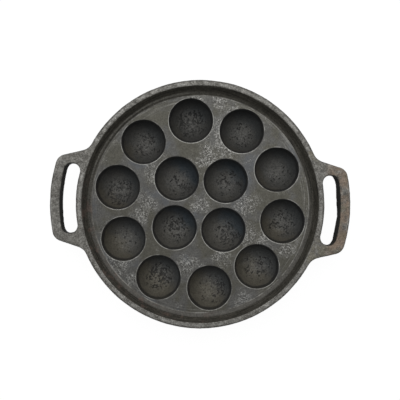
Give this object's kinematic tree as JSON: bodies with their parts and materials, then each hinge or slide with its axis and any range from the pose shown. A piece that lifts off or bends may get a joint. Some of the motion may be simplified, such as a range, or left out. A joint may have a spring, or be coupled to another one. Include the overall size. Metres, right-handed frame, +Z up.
{
  "type": "paniyaram pan",
  "caption": "Round cast-iron pan with hemispherical wells in a raised-rim tray and two slotted loop handles.",
  "frame": {"origin": "centre of the pan on the surface that its wells stand on", "axes": "+Z up out of the wells, +X along the handles, +Y across the handles"},
  "size_m": [0.302, 0.25, 0.0345],
  "materials": {
    "cast_iron": "rough sand-cast iron, worn grey on the lip, deck and handles",
    "seasoned_iron": "cast iron blackened by oil and heat inside the wells"
  },
  "bodies": {
    "root": {"rim_wall": "cast_iron", "deck_plate": "cast_iron", "handle_right": "cast_iron", "handle_left": "cast_iron", "outer_well_01": "seasoned_iron", "outer_well_02": "seasoned_iron", "outer_well_03": "seasoned_iron", "outer_well_04": "seasoned_iron", "outer_well_05": "seasoned_iron", "outer_well_06": "seasoned_iron", "outer_well_07": "seasoned_iron", "outer_well_08": "seasoned_iron", "outer_well_09": "seasoned_iron", "outer_well_10": "seasoned_iron", "inner_well_1": "seasoned_iron", "inner_well_2": "seasoned_iron", "inner_well_3": "seasoned_iron", "inner_well_4": "seasoned_iron"}
  },
  "joints": []
}
